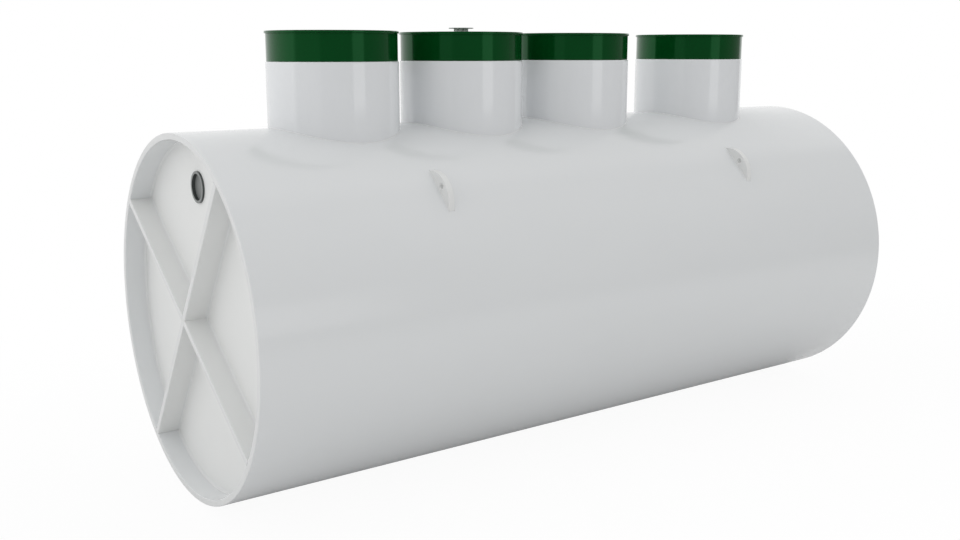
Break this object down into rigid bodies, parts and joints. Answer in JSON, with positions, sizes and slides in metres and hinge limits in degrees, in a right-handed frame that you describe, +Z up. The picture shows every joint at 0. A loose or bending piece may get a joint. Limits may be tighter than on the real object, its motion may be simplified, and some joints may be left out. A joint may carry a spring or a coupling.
{
  "type": "packaged sewage treatment plant",
  "caption": "Horizontal round plastic tank with ribbed recessed ends, pipe stubs, lifting lugs and upright access necks under round green lids, for treating sewage below ground.",
  "frame": {"origin": "middle of the tank's lowest line, where it lies on its bed", "axes": "+X along the tank from the inlet end to the outlet end, +Z up along the necks, +Y to the far side"},
  "size_m": [4, 1.6996, 2.1684],
  "materials": {
    "tank_white": "smooth white polypropylene",
    "cover_green": "glossy dark green polyethylene",
    "pipe_grey": "satin grey polypropylene pipe",
    "vent_grey": "satin grey plastic"
  },
  "bodies": {
    "root": {"shell_bottom": "tank_white", "shell_near_lower": "tank_white", "shell_near_upper": "tank_white", "shell_far_lower": "tank_white", "shell_far_upper": "tank_white", "shell_crown_1": "tank_white", "shell_crown_2": "tank_white", "shell_crown_3": "tank_white", "shell_crown_4": "tank_white", "shell_crown_5": "tank_white", "inlet_end_plate": "tank_white", "inlet_long_rib": "tank_white", "inlet_upper_rib": "tank_white", "inlet_lower_rib": "tank_white", "outlet_end_plate": "tank_white", "outlet_long_rib": "tank_white", "outlet_upper_rib": "tank_white", "outlet_lower_rib": "tank_white", "neck_1": "tank_white", "neck_2": "tank_white", "neck_3": "tank_white", "neck_4": "tank_white", "lug_inlet_near": "tank_white", "lug_inlet_far": "tank_white", "lug_outlet_near": "tank_white", "lug_outlet_far": "tank_white", "collar_1": "cover_green", "collar_2": "cover_green", "collar_3": "cover_green", "collar_4": "cover_green", "lid_1": "cover_green", "lid_2": "cover_green", "lid_3": "cover_green", "lid_4": "cover_green", "inlet_stub": "pipe_grey", "inlet_plug": "pipe_grey", "outlet_stub": "pipe_grey", "outlet_plug": "pipe_grey", "vent_pipe": "vent_grey", "vent_cap": "vent_grey"}
  },
  "joints": []
}
